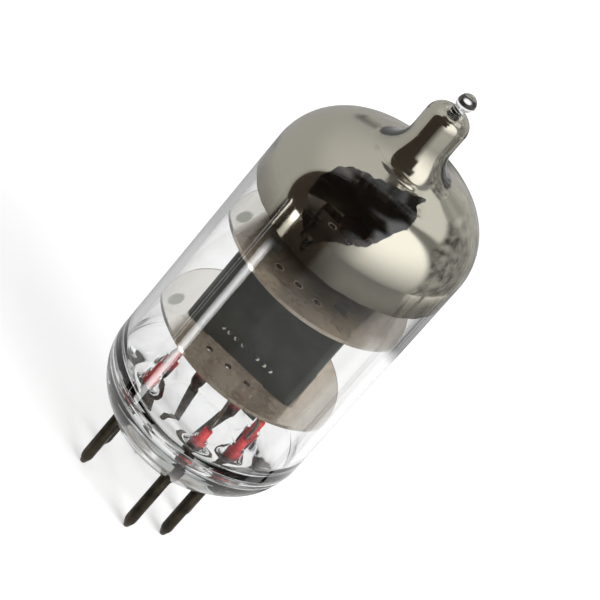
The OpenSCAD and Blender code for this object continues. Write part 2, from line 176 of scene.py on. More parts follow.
def layered(tree: Tree, base: str, *layers: tuple[Source, str]) -> bpy.types.NodeSocket:
    """Lays tones over a base colour.

    Args:
        tree: the material's nodes.
        base: the lowest colour.
        layers: the share of each tone and its colour, from the lowest to the top.

    Returns:
        The mixed colour.
    """
    colour = linear(base)
    for share, tone in layers:
        mix = add(tree, "Mix", {0: share, 6: colour, 7: linear(tone)}, data_type="RGBA")
        colour = mix.outputs[2]
    return colour


def relief(tree: Tree, place: Source, size_mm: float, deep_mm: float, detail: float = 2.0) -> bpy.types.Node:
    """Adds a bump of grain size_mm wide and deep_mm deep and returns it."""
    grain = add(tree, "TexNoise", {"Vector": place, "Scale": per_mm(size_mm), "Detail": detail})
    return add(tree, "Bump", {"Strength": 1.0, "Distance": deep_mm * MM, "Height": grain})


def turn_from_front(tree: Tree, parts: Outputs) -> bpy.types.Node:
    """Adds how far a place or a direction lies from the camera's side, in degrees about Z."""
    turn = add(tree, "Math", (parts["Y"], parts["X"]), operation="ARCTAN2")
    turn = add(tree, "Math", (turn,), operation="DEGREES")
    return add(tree, "Math", (turn, FRONT_DEG), operation="SUBTRACT")


@dataclass(frozen=True)
class Finish:
    """A solid surface with a second tone in patches, a changing gloss and a fine relief."""

    name: str
    colour: str
    second: str
    patch_mm: float
    gloss: Pair
    metallic: float = 0.0
    grain_mm: float = 0.1
    grain_deep_mm: float = 0.002
    foot: str = ""
    foot_mm: Pair = (0.0, 0.0)
    gloss_patch: float = 0.7

    def material(self) -> bpy.types.Material:
        """Builds the finish as a material, or returns the one already built."""
        if self.name in bpy.data.materials:
            return bpy.data.materials[self.name]
        material, tree, place = new_material(self.name)
        layers = [(cloud(tree, place, self.patch_mm), self.second)]
        if self.foot:
            low, high = metres(self.foot_mm)
            height = add(tree, "SeparateXYZ", (place,)).outputs["Z"]
            layers.append((add(tree, "MapRange", (height, high, low)), self.foot))
        worn = cloud(tree, place, self.patch_mm * self.gloss_patch)
        shader = add(tree, "BsdfPrincipled", {
            "Base Color": layered(tree, self.colour, *layers), "Metallic": self.metallic,
            "Roughness": add(tree, "MapRange", (worn, 0.0, 1.0, *self.gloss)),
            "Normal": relief(tree, place, self.grain_mm, self.grain_deep_mm)})
        add(tree, "OutputMaterial", {"Surface": shader})
        return material


@dataclass(frozen=True)
class ClearGlass:
    """Soda lime glass, drawn as a tube and sealed by flame: clear, with a faint grey body tint."""

    name: str = "soda lime glass, flame sealed"
    body: str = "#c9d2cf"
    density_per_mm: float = 0.035
    ior: float = 1.515
    shade: float = 0.9
    wave_mm: float = 6.0
    wave_deep_mm: float = 0.006

    def material(self) -> bpy.types.Material:
        """Builds the glass, which lets the lamps' light through to what it encloses."""
        material, tree, place = new_material(self.name)
        glass = add(tree, "BsdfPrincipled", {
            "Base Color": (1, 1, 1, 1), "Roughness": 0.0, "IOR": self.ior, "Transmission Weight": 1.0,
            "Normal": relief(tree, place, self.wave_mm, self.wave_deep_mm, 1.0)})
        through = add(tree, "BsdfTransparent", ((self.shade, self.shade, self.shade, 1),))
        lamp_ray = add(tree, "LightPath").outputs["Is Shadow Ray"]
        absorb = add(tree, "VolumeAbsorption", (linear(self.body), self.density_per_mm / MM))
        add(tree, "OutputMaterial", {"Surface": add(tree, "MixShader", (lamp_ray, glass, through)),
                                     "Volume": absorb})
        return material


@dataclass(frozen=True)
class SplitMica:
    """Natural mica, split and punched: a tan sheet that is half clear and half gloss.

    Places on it are in the cage's own directions, and a pair of them goes from tone 0 to tone 1.
    """

    name: str = "phlogopite mica, split and punched"
    colour: str = "#e2d3bf"
    stain: str = "#a18c73"
    patch_mm: float = 2.4
    streak_mm: float = 0.5
    streak_detail: float = 4.0
    streak_range: Pair = (0.4, 0.8)
    grain_mm: float = 0.9
    grain_deep_mm: float = 0.004
    body_clear: float = 0.5
    body_shine: float = 0.38
    rough: float = 0.13
    ior: float = 1.58
    # The pale tone on the ends beyond the anode is painted backlight: the backdrop shining through.
    painted_backlight: str = "#f6f3ec"
    left_mm: Pair = (-3.9, -5.5)
    right_mm: Pair = (5.0, 6.5)
    right_share: float = 0.4
    end_clear: float = 0.97
    end_shine: float = 0.03
    flaked: str = "#d3d5c9"
    flake_mm: Point = (-6.65, -2.95)
    flake_half_mm: Pair = (0.4, 1.15)
    flake_edge: Pair = (1.15, 0.85)
    flake_clear: float = 0.65
    # The getter's dark dust. The same tone paints shade inside the vent holes.
    soot_and_hole_shade: str = "#45352b"
    soot_mm: Point = (-0.7, 1.9)
    soot_reach_mm: Pair = (10.0, 4.6)
    soot_deep_mm: Pair = (0.1, 0.04)
    hole_r_mm: float = 0.3
    hole_pitch_mm: float = 1.95
    hole_row_mm: float = 4.95
    # A pale rim round each vent hole is a painted highlight, and its dark inside is painted shade.
    hole_highlight_rim: Pair = (1.6, 1.2)
    hole_shade_edge: Pair = (1.08, 1.0)

    def material(self) -> bpy.types.Material:
        """Builds the mica, dusted dark by the getter where its top lies under the cup."""
        material, tree, place = new_material(self.name)
        patches = cloud(tree, place, self.patch_mm)
        streaks = cloud(tree, place, self.streak_mm, self.streak_detail, *self.streak_range)
        stained = add(tree, "Math", (patches, streaks), operation="MULTIPLY")
        turned = add(tree, "VectorRotate", {"Vector": place, "Angle": -math.radians(CAGE_DEG)},
                     rotation_type="Z_AXIS")
        parts = add(tree, "SeparateXYZ", (turned,)).outputs
        hole = self.hole(tree, parts)
        # Painted shade inside the vent holes, in the soot's tone and letting no light through.
        inside = add(tree, "MapRange", (hole, *self.hole_shade_edge))
        # end: 1 on the ends beyond the anode, which are painted paler there as painted backlight.
        end, flake = self.painted_backlit_ends(tree, parts), self.flake(tree, parts)
        # Layers: stains, getter dust, painted highlight rims and painted shade in the vent holes, painted
        # backlight on the ends, and the flake.
        colour = layered(
            tree, self.colour, (stained, self.stain), (self.sooted(tree, place), self.soot_and_hole_shade),
            (add(tree, "MapRange", (hole, *self.hole_highlight_rim)), self.colour), (inside, self.soot_and_hole_shade),
            (end, self.painted_backlight), (flake, self.flaked))
        clear = add(tree, "MapRange", (end, 0.0, 1.0, self.body_clear, self.end_clear))
        for share, level in ((flake, self.flake_clear), (inside, 0.0)):
            clear = add(tree, "Mix", {0: share, 2: clear, 3: level})
        shine = add(tree, "MapRange", (end, 0.0, 1.0, self.body_shine, self.end_shine))
        shader = add(tree, "BsdfPrincipled", {
            "Base Color": colour, "Metallic": shine, "Roughness": self.rough, "IOR": self.ior,
            "Transmission Weight": clear, "Normal": relief(tree, place, self.grain_mm, self.grain_deep_mm)})
        add(tree, "OutputMaterial", {"Surface": shader})
        return material

    def sooted(self, tree: Tree, place: Source) -> bpy.types.Node:
        """Returns 1 on the upper sheet's top under the getter cup, less and less away from it."""
        parts = add(tree, "SeparateXYZ", (place,)).outputs
        flat = add(tree, "CombineXYZ", (parts["X"], parts["Y"]))
        cup = (*metres(self.soot_mm), 0)
        reach = add(tree, "VectorMath", (flat, cup), operation="DISTANCE").outputs["Value"]
        near = add(tree, "MapRange", (reach, *metres(self.soot_reach_mm)))
        top = node_box("upper_mica")[1].z
        above = add(tree, "MapRange", (parts["Z"], *((top - v) * MM for v in self.soot_deep_mm)))
        return add(tree, "Math", (near, above), operation="MULTIPLY")

    def painted_backlit_ends(self, tree: Tree, parts: Outputs) -> bpy.types.Node:
        """Returns 1 at the left end and a share of it at the right, beyond the anode's ends, where the mica
        is painted paler as painted backlight and made clearer; else 0.
        """
        left = add(tree, "MapRange", (parts["X"], *metres(self.left_mm)))
        right = add(tree, "MapRange", (parts["X"], *metres(self.right_mm), 0.0, self.right_share))
        return add(tree, "Math", (left, right), operation="MAXIMUM")

    def flake(self, tree: Tree, parts: Outputs) -> bpy.types.Node:
        """Returns 1 in the grey patch where a layer of the clear end has lifted."""
        flat = add(tree, "CombineXYZ", (parts["X"], parts["Y"]))
        flat = add(tree, "VectorMath", (flat, (*metres(self.flake_mm), 0)), operation="SUBTRACT")
        flat = add(tree, "VectorMath", (flat, (*metres(self.flake_half_mm), 1)), operation="DIVIDE")
        reach = add(tree, "VectorMath", (flat,), operation="LENGTH").outputs["Value"]
        return add(tree, "MapRange", (reach, *self.flake_edge))

    def hole(self, tree: Tree, parts: Outputs) -> bpy.types.Node:
        """Returns the distance from the nearest vent hole's middle, in its radii."""
        half = self.hole_pitch_mm * MM / 2
        folded = add(tree, "Math", (parts["X"], half, -half), operation="WRAP")
        far = add(tree, "Math", (parts["X"],), operation="ABSOLUTE")
        beyond = add(tree, "Math", (far, 3 * half), operation="GREATER_THAN")
        across = add(tree, "Math", (folded, beyond), operation="ADD")
        row = add(tree, "Math", (parts["Y"],), operation="ABSOLUTE")
        row = add(tree, "Math", (row, self.hole_row_mm * MM), operation="SUBTRACT")
        flat = add(tree, "CombineXYZ", (across, row))
        reach = add(tree, "VectorMath", (flat,), operation="LENGTH").outputs["Value"]
        return add(tree, "Math", (reach, self.hole_r_mm * MM), operation="DIVIDE")


@dataclass(frozen=True)
class MirrorFilm:
    """Barium flashed on to the inside of the dome: a bright mirror, browner where it thins.

    Each ripple has a radius in millimetres and the turns from the camera's side between which it runs.
    """

    name: str = "barium getter film, flashed"
    silver: str = "#cec9b9"
    smoke: str = "#80796c"
    patch_mm: float = 5.0
    least_smoke: float = 0.6
    thin_mm: Pair = (34.6, 31.4)
    metallic: float = 0.99
    rough: float = 0.06
    grain_mm: float = 2.5
    grain_deep_mm: float = 0.0015
    ripples: tuple[tuple[float, float, float], ...] = ((3.2, -62.0, 32.0), (4.4, -6.0, 40.0))
    ripple_mm: float = 0.36
    ripple_deep_mm: float = 0.045
    ripple_fade: float = 14.0

    def material(self) -> bpy.types.Material:
        """Builds the film."""
        material, tree, place = new_material(self.name)
        parts = add(tree, "SeparateXYZ", (place,)).outputs
        thin = add(tree, "MapRange", (parts["Z"], *metres(self.thin_mm)))
        uneven = add(tree, "MapRange", (cloud(tree, place, self.patch_mm), 0.0, 1.0, self.least_smoke, 1.0))
        share = add(tree, "Math", (thin, uneven), operation="MULTIPLY")
        grain = relief(tree, place, self.grain_mm, self.grain_deep_mm)
        shader = add(tree, "BsdfPrincipled", {
            "Base Color": layered(tree, self.silver, (share, self.smoke)), "Metallic": self.metallic,
            "Roughness": self.rough, "Normal": self.rippled(tree, parts, grain)})
        add(tree, "OutputMaterial", {"Surface": shader})
        return material

    def rippled(self, tree: Tree, parts: Outputs, normal: bpy.types.Node) -> bpy.types.Node:
        """Adds the short ripples that the flame left round the neck's foot.

        Args:
            tree: the material's nodes.
            parts: the coordinates' parts.
            normal: the relief to start from.

        Returns:
            The rippled relief.
        """
        flat = add(tree, "CombineXYZ", (parts["X"], parts["Y"]))
        reach = add(tree, "VectorMath", (flat,), operation="LENGTH").outputs["Value"]
        turn = add(tree, "Math", (turn_from_front(tree, parts), -180.0, 180.0), operation="WRAP")
        height: Source = 0.0
        for radius, start, stop in self.ripples:
            off = add(tree, "Math", (reach, radius * MM), operation="SUBTRACT")
            off = add(tree, "Math", (off,), operation="ABSOLUTE")
            wave = add(tree, "MapRange", (off, self.ripple_mm * MM, 0.0), interpolation_type="SMOOTHSTEP")
            for edge, inner in ((start, start + self.ripple_fade), (stop, stop - self.ripple_fade)):
                fade = add(tree, "MapRange", (turn, edge, inner), interpolation_type="SMOOTHSTEP")
                wave = add(tree, "Math", (wave, fade), operation="MULTIPLY")
            height = add(tree, "Math", (wave, height), operation="MAXIMUM")
        return add(tree, "Bump", {"Strength": 1.0, "Distance": self.ripple_deep_mm * MM, "Height": height,
                                  "Normal": normal})


@dataclass(frozen=True)
class PaperSheet:
    """Matt white paper that the camera sees as white, with the tube's shadow on it.

    Where the tip's ball bends a ray away from the lit part behind the tube, the sheet shows the dim room's
    tone instead, as painted shade.
    """

    name: str = "paper sheet, matt"
    colour: str = "#ffffff"
    second: str = "#fcfcfc"
    patch_mm: float = 60.0
    rough: float = 0.95
    lift: float = 0.42
    glass_lift: float = 0.3
    # The tone of the painted shade seen through the tip's ball.
    room: str = "#2e2c28"
    behind_mm: float = 82.0
    lit_mm: Pair = (20.0, 36.0)
    bent_mm: Pair = (0.0, 2.0)
    ball_depth: Pair = (1.5, 0.6)

    def material(self) -> bpy.types.Material:
        """Builds the paper, which nothing mirrors."""
        material, tree, place = new_material(self.name)
        path = add(tree, "LightPath").outputs
        lift = add(tree, "Mix", {0: path["Is Camera Ray"], 2: self.glass_lift, 3: self.lift})
        shader = add(tree, "BsdfPrincipled", {
            "Base Color": layered(tree, self.colour, (cloud(tree, place, self.patch_mm), self.second)),
            "Roughness": self.rough, "Specular IOR Level": 0.0, "Emission Color": (1, 1, 1, 1),
            "Emission Strength": lift})
        # Painted shade: the dim room's tone, shown where the tip's ball bends a ray past the lit part.
        dark = add(tree, "Emission", (linear(self.room), 1.0))
        seen = add(tree, "MixShader", (self.ball_shade_mask(tree, place, path), shader, dark))
        mirrored = add(tree, "Math", (path["Glossy Depth"], 0.5), operation="GREATER_THAN")
        mixed = add(tree, "MixShader", (mirrored, seen, add(tree, "BsdfTransparent")))
        add(tree, "OutputMaterial", {"Surface": mixed})
        return material

    def ball_shade_mask(self, tree: Tree, place: Source, path: Outputs) -> bpy.types.Node:
        """Returns 1 where the glass ball on the tip bends a ray past the sheet's lit part, which the sheet
        paints as shade.
        """
        solid = add(tree, "Math", (path["Transmission Depth"], *self.ball_depth), operation="COMPARE")
        reach = add(tree, "VectorMath", (place,), operation="LENGTH").outputs["Value"]
        longer = add(tree, "Math", (path["Ray Length"], reach), operation="SUBTRACT")
        share = add(tree, "MapRange", (longer, *metres(self.bent_mm)))
        back = Matrix.Rotation(math.radians(FRONT_DEG + 180), 3, "Z") @ Vector((self.behind_mm * MM, 0, 0))
        aside = add(tree, "VectorMath", (place, back), operation="DISTANCE").outputs["Value"]
        for factor in (add(tree, "MapRange", (aside, *metres(self.lit_mm))), solid):
            share = add(tree, "Math", (share, factor), operation="MULTIPLY")
        return share


# The same mica close under the flashed getter, dusted dark by it under the cup, and painted paler all over as
# painted light.
DUSTED_MICA_PAINTED_PALER = SplitMica("phlogopite mica, split and dusted, painted paler", "#fdf0de", "#cdb89c",
                        soot_reach_mm=(9.4, 4.6), left_mm=(-5.6, -6.3))
# Nickel iron pins, blackened in service: near black, with a brown cast and a dull shine.
PIN_BLACK = Finish("nickel iron pin, oxidised", "#2a251d", "#4a4336", 1.2, (0.28, 0.5), 0.7, 0.12, 0.004)
# Copper clad sealing wire, borated: a clear brick red, turning brown black towards its lower end.
DUMET_RED = Finish("dumet wire, borated", "#ee5c5c", "#c04046", 0.8, (0.25, 0.4), 0.15, 0.2, 0.002,
                   "#33231d", (9.9, 10.8))
# Nickel wire, drawn: grey, half bright, faintly lined.
NICKEL_WIRE = Finish("nickel wire, drawn", "#a9a49c", "#77716a", 0.9, (0.22, 0.42), 1.0)
# Nickel strip, rolled and fired: darker, with a heat tint.
NICKEL_STRIP = Finish("nickel strip, fired", "#6a5547", "#3c2d25", 1.1, (0.45, 0.65), 1.0, 0.15)
# Carbonised nickel sheet: a dull charcoal grey, even, with a faint sheen.
CARBON_SHEET = Finish("nickel sheet, carbonised", "#535551", "#494b48", 2.0, (0.42, 0.58), 0.25, 0.08, 0.003)
# Molybdenum grid wire, drawn: fine and steel grey.
GRID_WIRE = Finish("molybdenum wire, drawn", "#9a9a98", "#77756f", 1.0, (0.25, 0.4), 1.0)
# The same wire with a thin coat of gold.
GILT_WIRE = Finish("molybdenum wire, gilt", "#d2a955", "#a8823c", 1.0, (0.2, 0.35), 1.0)
# Barium and strontium oxide, sprayed: chalk white and rough.
OXIDE_WHITE = Finish("alkaline earth oxide, sprayed", "#eeeae0", "#d8d2c4", 0.6, (0.85, 0.95), 0.0,
                     0.05, 0.006)
# Spent getter pellet: dark red brown and crusty.
RESIDUE = Finish("getter pellet, fired", "#40201a", "#1f1210", 0.5, (0.6, 0.85), 0.1, 0.12, 0.03)
# Spot welds on the sheet: small dimples, painted near white, which is a painted highlight.
WELD_PAINTED_GLINT = Finish("nickel, spot welded, painted glint", "#f4f1e8", "#d6d2c6", 0.3, (0.35, 0.5), 0.3, 0.1, 0.004)


class Surface(Protocol):
    """What a piece is dressed with."""

    def material(self) -> bpy.types.Material:
        """Builds the material."""


class Form:
    """A mesh under construction, in millimetres."""

    def __init__(self) -> None:
        """Starts with nothing."""
        self.bm = bmesh.new()

    def copy(self, node: str) -> "Form":
        """Takes over a merged copy of a CAD node's mesh, with its flat faces whole."""
        self.bm.from_mesh(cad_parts[node].data)
        bmesh.ops.scale(self.bm, vec=Vector((1, 1, 1)) / MM, verts=self.bm.verts)
        bmesh.ops.remove_doubles(self.bm, verts=self.bm.verts, dist=1e-4)
        bmesh.ops.dissolve_limit(self.bm, angle_limit=math.radians(0.5), verts=self.bm.verts,
                                 edges=self.bm.edges)
        return self

    def soften(self, width: float, sharper_than: float) -> "Form":
        """Rounds every edge that is sharper than an angle in degrees."""
        sharp = [e for e in self.bm.edges if len(e.link_faces) == 2
                 and e.calc_face_angle(0) > math.radians(sharper_than)]
        bmesh.ops.bevel(self.bm, geom=sharp, offset=width, offset_type="OFFSET", affect="EDGES", segments=2,
                        profile=0.5, material=-1, clamp_overlap=True)
        return self

    def revolve(self, profile: Sequence[Point], steps: int = ROUND, closed: bool = False) -> "Form":
        """Spins a profile round Z.

        Args:
            profile: its (radius, height) points, in order.
            steps: how many steps a full turn has.
            closed: whether the last point joins the first.

        Returns:
            The form itself.
        """
        before = set(self.bm.faces)
        verts = [self.bm.verts.new((r, 0, z)) for r, z in profile]
        edges = [self.bm.edges.new(pair) for pair in zip(verts, verts[1:])]
        if closed:
            edges.append(self.bm.edges.new((verts[-1], verts[0])))
        bmesh.ops.spin(self.bm, geom=[*verts, *edges], cent=(0, 0, 0), axis=(0, 0, 1), angle=math.tau,
                       steps=steps, use_merge=True)
        fresh = {v for f in self.bm.faces if f not in before for v in f.verts}
        bmesh.ops.remove_doubles(self.bm, verts=list(fresh), dist=1e-5)
        bmesh.ops.recalc_face_normals(self.bm, faces=[f for f in self.bm.faces if f not in before])
        return self

    def sweep(self, path: Sequence[Vector], radius: float, sides: int) -> "Form":
        """Draws a round wire along a path.

        Args:
            path: the points of its centre line.
            radius: the wire's radius.
            sides: how many sides it has.

        Returns:
            The form itself.
        """
        heading = (path[1] - path[0]).normalized()
        turn = Vector((0, 0, 1)).rotation_difference(heading).to_matrix().to_4x4()
        ring = bmesh.ops.create_circle(self.bm, cap_ends=True, radius=radius, segments=sides,
                                       matrix=Matrix.Translation(path[0]) @ turn)["verts"]
        face = ring[0].link_faces[0]
        for k in range(1, len(path)):
            ahead = path[min(k + 1, len(path) - 1)] - path[k - 1]
            made = bmesh.ops.extrude_face_region(self.bm, geom=[face])["geom"]
            face = next(g for g in made if isinstance(g, bmesh.types.BMFace))
            bmesh.ops.translate(self.bm, vec=path[k] - path[k - 1], verts=face.verts)
            lean = heading.rotation_difference(ahead.normalized())
            bmesh.ops.rotate(self.bm, cent=path[k], matrix=lean.to_matrix(), verts=face.verts)
            heading = ahead.normalized()
        bmesh.ops.recalc_face_normals(self.bm, faces=self.bm.faces)
        return self

    def place(self, matrix: Matrix) -> "Form":
        """Moves the whole form by a matrix."""
        bmesh.ops.transform(self.bm, matrix=matrix, verts=self.bm.verts)
        return self

    def blank(self, name: str) -> bpy.types.Object:
        """Turns the form into a bare object, as large as it stands."""
        mesh = bpy.data.meshes.new(name)
        self.bm.to_mesh(mesh)
        self.bm.free()
        return link(name, mesh)

    def piece(self, name: str, finish: Surface, slot: Slot, stands_for: Sequence[str] = (),
              crease: float = 60.0) -> None:
        """Turns the form into a finished object, which rides on the tube's one body.

        Args:
            name: the object's name.
            finish: the surface that it gets.
            slot: the record's material slot; not used.
            stands_for: the CAD nodes that it replaces.
            crease: edges sharper than this, in degrees, are shaded sharp.
        """
        bmesh.ops.scale(self.bm, vec=Vector((MM, MM, MM)), verts=self.bm.verts)
        made = self.blank(name)
        made.data.polygons.foreach_set("use_smooth", [True] * len(made.data.polygons))
        made.data.set_sharp_from_angle(angle=math.radians(crease))
        made.data.materials.append(finish.material())
        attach(made, BODY)
        if stands_for:
            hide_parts(*stands_for)
        LOG.info("%s: %d faces", name, len(made.data.polygons))


@dataclass
class Pins:
    """The seven pins, with the red sealing wires above them."""

    circle_r: float = 9.525 / 2
    count: int = 7
    first_deg: float = -45.0
    step_deg: float = 45.0
    pin_r: float = 0.508
    pin_sides: int = 40
    end_r: float = 0.25
    end_round: float = 0.06
    taper: float = 0.8
    taper_soft: Pair = (0.03, 0.12)
    seal_r: float = 0.4
    seal_sides: int = 32
    top_round: float = 0.1

    def centre(self, i: int) -> Vector:
        """Returns the place of pin i's axis."""
        a = math.radians(self.first_deg + self.step_deg * (i - 1))
        return Vector((self.circle_r * math.cos(a), self.circle_r * math.sin(a), 0))

    def build(self) -> None:
        """Builds the pins and the sealing wires."""
        inward, along = self.taper_soft
        for i in range(1, self.count + 1):
            top = node_box(f"base_pin_{i}")[1].z
            low, high = (corner.z for corner in node_box(f"seal_wire_{i}"))
            pin = Form().revolve([
                (0, 0), (self.end_r - self.end_round, 0), (self.end_r, self.end_round),
                (self.pin_r - inward, self.taper - along), (self.pin_r, self.taper + along),
                (self.pin_r, top - self.top_round), (self.pin_r - self.top_round, top),
                (0, top)], self.pin_sides)
            wire = Form().revolve([
                (0, low), (self.seal_r, low), (self.seal_r, high - self.top_round),
                (self.seal_r - self.top_round, high), (0, high)], self.seal_sides)
            shift = Matrix.Translation(self.centre(i))
            pin.place(shift).piece(f"pin_{i}", PIN_BLACK, Slot.PIN, [f"base_pin_{i}"])
            wire.place(shift).piece(f"sealing_wire_{i}", DUMET_RED, Slot.DUMET, [f"seal_wire_{i}"])


@dataclass
class Envelope:
    """The glass: bulb and pressed base, sealed into one."""

    pins: Pins
    wall: float = 0.7
    heel_r: float = 5.5
    seam_deg: float = 45.0
    seam_h: float = 1.4
    foot_r: float = 1.5
    floor_r: float = 1.3
    bead_w: float = 0.5
    bead_in: float = 0.12
    bead_gap: float = 0.05
    shoulder_r: float = 5.3
    crown_slope: float = 18.0
    sweep_r: float = 2.6
    neck_r: float = 1.88
    neck_wall: float = 0.5
    neck_len: float = 1.75
    neck_round: float = 1.2
    stalk_r: float = 0.5
    stalk_len: float = 0.5
    ball_r: float = 0.77
    ball_lean: float = 0.24
    ball_lean_deg: float = 25.2
    base_t: float = 3.0
    dome_room: float = 6.2
    boss_h: float = 1.5
    boss_foot_r: float = 1.3
    boss_top_r: float = 0.67
    boss_flare: Pair = (1.7, 1.3)
    boss_steps: int = 8
    boss_dip: Pair = (0.1, 0.03)
    lip_r: float = 0.16
    lip_turns: tuple[float, ...] = (0.5, 1.0, math.pi / 2)
    wobble: float = 0.05
    wobble_h: float = 2.6
    wobble_reach: float = 3.2
    wobble_mm: float = 3.0
    wobble_from: float = 0.9

    def __post_init__(self) -> None:
        """Works out the stations that follow from the sizes and the frame."""
        low, high = node_box("glass_bulb")
        self.bulb_r = high.x
        self.top = high.z
        self.under = node_box("glass_base")[0].z
        self.floor = self.under + self.base_t
        self.inner_r = self.bulb_r - self.wall
        self.shoulder_z = node_box("upper_mica")[1].z + self.dome_room
        slope = math.radians(self.crown_slope)
        self.crown_x = self.bulb_r - self.shoulder_r + self.shoulder_r * math.sin(slope)
        self.crown_z = self.shoulder_z + self.shoulder_r * math.cos(slope)
        self.sweep_x = self.neck_r + self.sweep_r
        self.sweep_z = (self.crown_z + (self.crown_x - self.sweep_x) * math.tan(slope)
                        + self.sweep_r / math.cos(slope))
        share = math.cos(math.radians(self.seam_deg))
        self.seam_x = self.bulb_r - self.heel_r + self.heel_r * share
        self.heel_z = self.under + self.seam_h + self.heel_r * share
        self.floor_x = self.inner_r - self.floor_r
        self.bore_r = self.neck_r - self.neck_wall
        self.bore_x = self.bore_r + self.sweep_r + self.wall
        self.bore_z = self.sweep_z - (self.bore_x - self.sweep_x) * math.tan(slope)

    def outside(self) -> list[Point]:
        """Returns the outline from the middle of the underside to the top of the ball."""
        seam, slope = self.seam_deg, self.crown_slope
        foot_x = self.seam_x - self.seam_h - self.foot_r * math.tan(math.radians(seam / 2))
        cap = math.degrees(math.acos((self.stalk_r - self.neck_r + self.neck_round) / self.neck_round))
        ball = math.degrees(math.acos(self.stalk_r / self.ball_r))
        return [
            (0, self.under), (foot_x / 2, self.under),
            *arc((foot_x, self.under + self.foot_r), self.foot_r, -90, -seam, 6),
            *arc((self.bulb_r - self.heel_r, self.heel_z), self.heel_r, -seam, 0, 14),
            *[(self.bulb_r, self.heel_z + (self.shoulder_z - self.heel_z) * k / 14) for k in range(1, 14)],
            *arc((self.bulb_r - self.shoulder_r, self.shoulder_z), self.shoulder_r, 0, 90 - slope, 18),
            *arc((self.sweep_x, self.sweep_z), self.sweep_r, 270 - slope, 180, 12),
            *arc((self.neck_r - self.neck_round, self.sweep_z + self.neck_len), self.neck_round, 0, cap, 12),
            *arc((0, self.top - self.ball_r), self.ball_r, -ball, 90, 16)]

    def dome_inside(self, gap: float = 0.0) -> list[Point]:
        """Returns the inside of the dome from the wall to the bore's round top, drawn in by a gap."""
        slope, top = self.crown_slope, self.sweep_z + self.neck_len
        cap_r = self.neck_round - self.neck_wall - gap
        return [
            *arc((self.bulb_r - self.shoulder_r, self.shoulder_z), self.shoulder_r - self.wall - gap,
                 0, 90 - slope, 18),
            *arc((self.bore_x, self.bore_z), self.sweep_r + self.wall + gap, 270 - slope, 180, 12),
            *arc((self.neck_r - self.neck_round, top), cap_r, 0, 90, 8), (0, top + cap_r)]

    def inside(self) -> list[Point]:
        """Returns the cavity's outline from the floor's edge to the top of the bore."""
        wall_low = self.floor + self.floor_r
        bead_r = (self.bead_w ** 2 / 4 + self.bead_in ** 2) / (2 * self.bead_in)
        half = math.degrees(math.asin(self.bead_w / 2 / bead_r))
        bead_z = wall_low + self.bead_w / 2 + self.bead_gap
        high = bead_z + self.bead_w / 2
        return [
            *arc((self.floor_x, wall_low), self.floor_r, -90, 0, 12),
            *arc((self.inner_r - self.bead_in + bead_r, bead_z), bead_r, 180 + half, 180 - half, 10),
            *[(self.inner_r, high + (self.shoulder_z - high) * k / 12) for k in range(1, 12)],
            *self.dome_inside()]

    def raise_boss(self, form: Form, ring: list[bmesh.types.BMEdge], centre: Vector) -> None:
        """Draws the glass up round a sealing wire, from a ring of edges on the floor."""
        top_r, lip = self.boss_top_r, self.lip_r
        narrow, rise = self.boss_flare
        in_r, dip = self.boss_dip
        shares = [k / self.boss_steps for k in range(1, self.boss_steps + 1)]
        stations = [
            *[(top_r + (self.boss_foot_r - top_r) * (1 - s) ** narrow, (self.boss_h - lip) * s ** rise)
              for s in shares],
            *[(top_r - lip + lip * math.cos(a), self.boss_h - lip + lip * math.sin(a))
              for a in self.lip_turns],
            (self.pins.seal_r - in_r, self.boss_h - dip)]
        radius, height = self.boss_foot_r, 0.0
        for r, z in stations:
            made = bmesh.ops.extrude_edge_only(form.bm, edges=ring)["geom"]
            verts = [g for g in made if isinstance(g, bmesh.types.BMVert)]
            bmesh.ops.scale(form.bm, vec=(r / radius, r / radius, 1), verts=verts,
                            space=Matrix.Translation(-centre))
            bmesh.ops.translate(form.bm, vec=(0, 0, z - height), verts=verts)
            inner = set(verts)
            ring = [g for g in made if isinstance(g, bmesh.types.BMEdge) and set(g.verts) <= inner]
            radius, height = r, z
        bmesh.ops.contextual_create(form.bm, geom=ring)

    def build(self) -> None:
        """Builds the glass as one closed body with a cavity."""
        form = Form().revolve(self.inside())
        edges = [e for e in form.bm.edges if e.is_boundary]
        rings = []
        for i in range(1, self.pins.count + 1):
            centre = self.pins.centre(i)
            verts = bmesh.ops.create_circle(form.bm, cap_ends=False, radius=self.boss_foot_r, segments=32,
                                            matrix=Matrix.Translation((*centre.xy, self.floor)))["verts"]
            ring = list({e for v in verts for e in v.link_edges})
            rings.append((ring, centre))
            edges += ring
        bmesh.ops.triangle_fill(form.bm, use_beauty=True, use_dissolve=False, normal=(0, 0, 1), edges=edges)
        for ring, centre in rings:
            self.raise_boss(form, ring, centre)
        bmesh.ops.recalc_face_normals(form.bm, faces=form.bm.faces)
        bmesh.ops.reverse_faces(form.bm, faces=form.bm.faces)
        form.revolve(self.outside())
        self.waver(form)
        self.lean_ball(form)
        form.piece("glass_envelope", ClearGlass(), Slot.GLASS, ["glass_bulb", "glass_base"], crease=50)

    def lean_ball(self, form: Form) -> None:
        """Sets the ball a little to one side, as the flame left it."""
        turn = math.radians(self.ball_lean_deg)
        middle = self.top - self.ball_r
        foot = middle - self.ball_r - self.stalk_len
        for vert in form.bm.verts:
            share = min(1.0, max(0.0, (vert.co.z - foot) / (middle - foot)))
            vert.co.x += self.ball_lean * math.cos(turn) * share
            vert.co.y += self.ball_lean * math.sin(turn) * share

    def waver(self, form: Form) -> None:
        """Gives the flame worked seam its slight waves, which fade out up the wall."""
        for vert in form.bm.verts:
            x, y, z = vert.co
            reach = math.hypot(x, y)
            near = max(0.0, 1 - abs(z - self.under - self.wobble_h) / self.wobble_reach)
            if reach < self.floor_x * self.wobble_from or near == 0:
                continue
            swell = noise.noise(Vector((x, y, z * 2)) / self.wobble_mm)
            scale = 1 + self.wobble * near * swell / reach
            vert.co.x, vert.co.y = x * scale, y * scale


